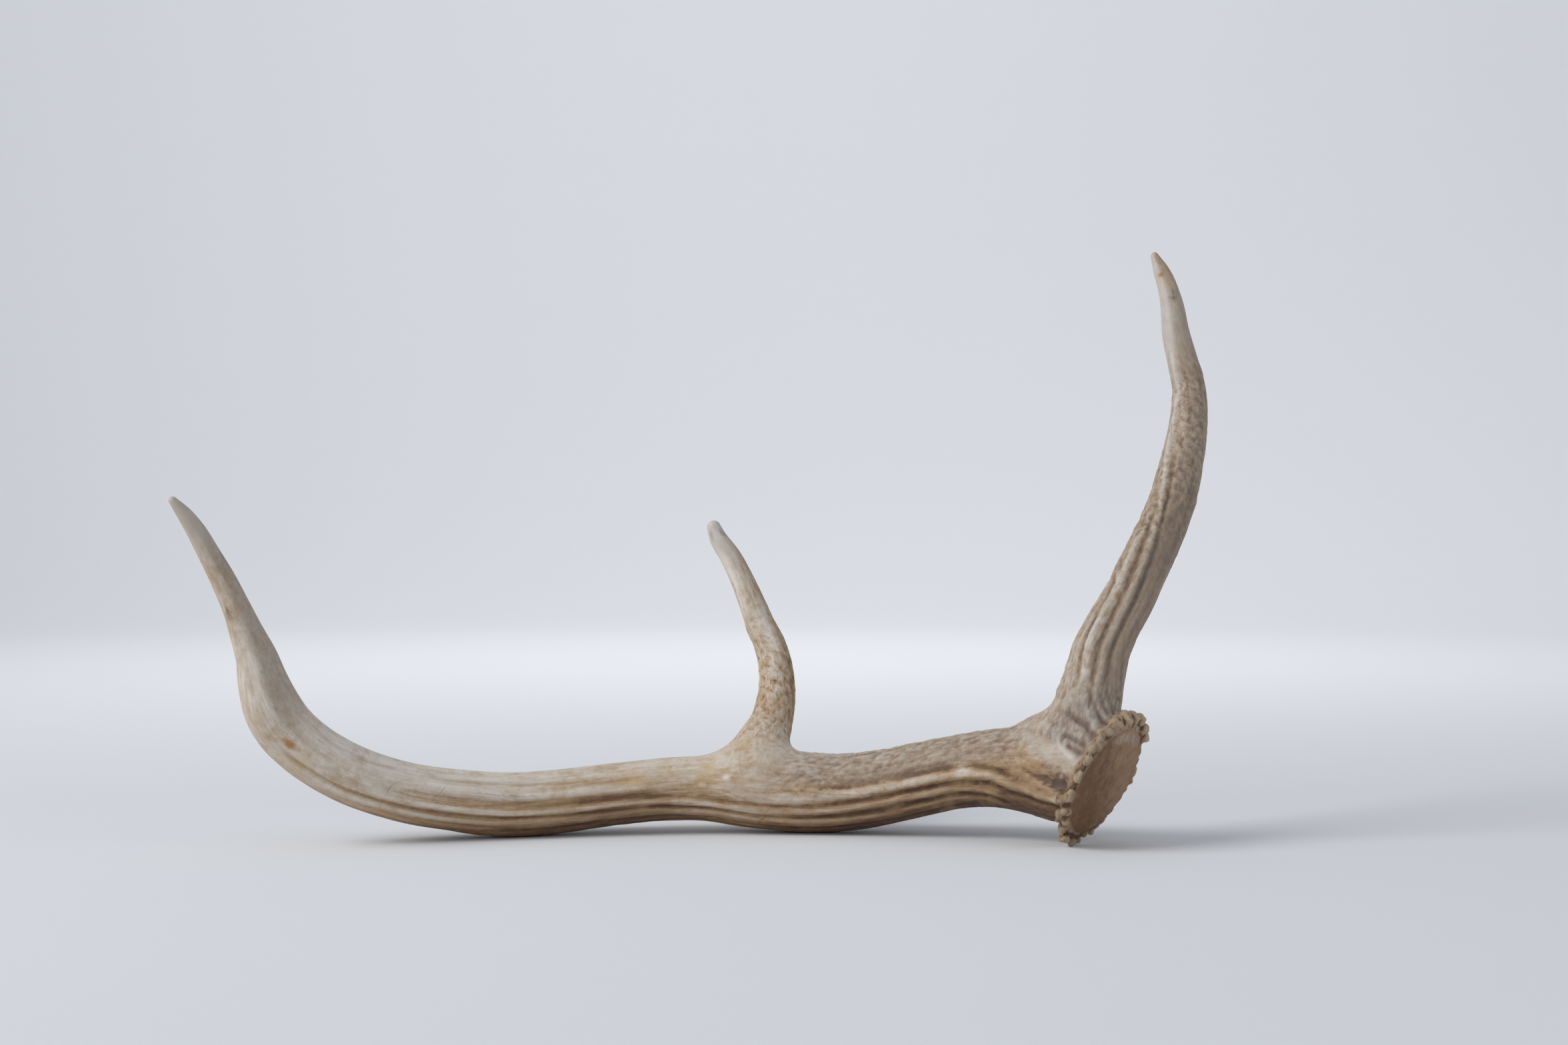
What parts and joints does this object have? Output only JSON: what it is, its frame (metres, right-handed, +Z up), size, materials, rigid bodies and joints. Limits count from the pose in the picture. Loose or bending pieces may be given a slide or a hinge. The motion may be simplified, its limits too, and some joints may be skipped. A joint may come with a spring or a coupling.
{
  "type": "deer antler",
  "caption": "Shed antler of a young red deer: a curved, furrowed main beam with a knobbed burr, a long brow tine and a shorter middle tine.",
  "frame": {"origin": "on the surface it rests on, below the middle of its bounding box", "axes": "+X from the beam's tip towards the burr, +Y away from the viewer of the picture, +Z up"},
  "size_m": [0.4091, 0.113, 0.2416],
  "materials": {
    "beam_bone": "matt weathered antler bone",
    "brow_bone": "matt pale antler bone, smoother at the tip",
    "middle_bone": "matt tan antler bone"
  },
  "bodies": {
    "root": {"main_beam": "beam_bone", "brow_tine": "brow_bone", "middle_tine": "middle_bone"}
  },
  "joints": []
}
